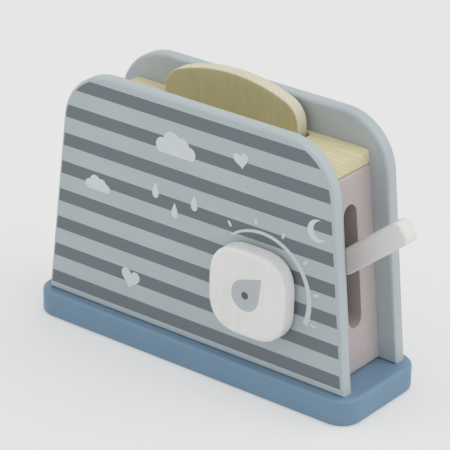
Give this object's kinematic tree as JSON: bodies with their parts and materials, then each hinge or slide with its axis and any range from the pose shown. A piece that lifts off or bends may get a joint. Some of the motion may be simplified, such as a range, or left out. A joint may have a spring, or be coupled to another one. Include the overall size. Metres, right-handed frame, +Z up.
{
  "type": "toy toaster",
  "caption": "Wooden toy toaster: striped front board, slotted top plate, lever in a side slot that lifts the bread, and a turning knob.",
  "frame": {"origin": "middle of the base's underside", "axes": "+X along the length to the end with the lever, +Y to the back, +Z up; the knob is on the -Y side"},
  "size_m": [0.216, 0.0712, 0.15],
  "materials": {
    "blue_painted_wood": "satin paint",
    "grey_painted_wood": "satin paint with printed stripes on the front",
    "pink_painted_wood": "satin paint",
    "white_painted_wood": "satin paint",
    "bare_wood": "sanded, clear matt lacquer",
    "felt": "pressed felt",
    "zinc_plated_steel": "zinc plated"
  },
  "bodies": {
    "housing": {"base": "blue_painted_wood", "front_panel": "grey_painted_wood", "back_panel": "grey_painted_wood", "left_end_panel": "pink_painted_wood", "right_end_panel": "pink_painted_wood", "top_plate": "bare_wood", "guide_rod_left": "bare_wood", "guide_rod_right": "bare_wood", "knob_spacer": "felt", "knob_washer": "zinc_plated_steel", "base_screw_1": "zinc_plated_steel", "base_screw_2": "zinc_plated_steel", "base_screw_3": "zinc_plated_steel", "base_screw_4": "zinc_plated_steel", "dowel_pin_front_left_low": "bare_wood", "dowel_pin_front_left_high": "bare_wood", "dowel_pin_front_right_low": "bare_wood", "dowel_pin_front_right_high": "bare_wood", "dowel_pin_back_left_low": "bare_wood", "dowel_pin_back_left_high": "bare_wood", "dowel_pin_back_right_low": "bare_wood", "dowel_pin_back_right_high": "bare_wood"},
    "bread_lift": {"bread_tray": "bare_wood", "lever": "white_painted_wood", "lever_screw_1": "zinc_plated_steel", "lever_screw_2": "zinc_plated_steel"},
    "toast": {"toast_slice": "bare_wood"},
    "knob": {"knob": "white_painted_wood", "knob_screw": "zinc_plated_steel"}
  },
  "joints": [
    {"name": "lever_slide", "type": "slide", "parent": "housing", "child": "bread_lift", "axis": [0, 0, 1], "range_m": [-0.0265, 0.019]},
    {"name": "toast_lift_out", "type": "slide", "parent": "bread_lift", "child": "toast", "axis": [0, 0, 1], "range_m": [0, 0.13]},
    {"name": "knob_turn", "type": "hinge", "parent": "housing", "child": "knob", "pos_m": [0.043, -0.028, 0.0585], "axis": [0, -1, 0], "continuous": true}
  ]
}
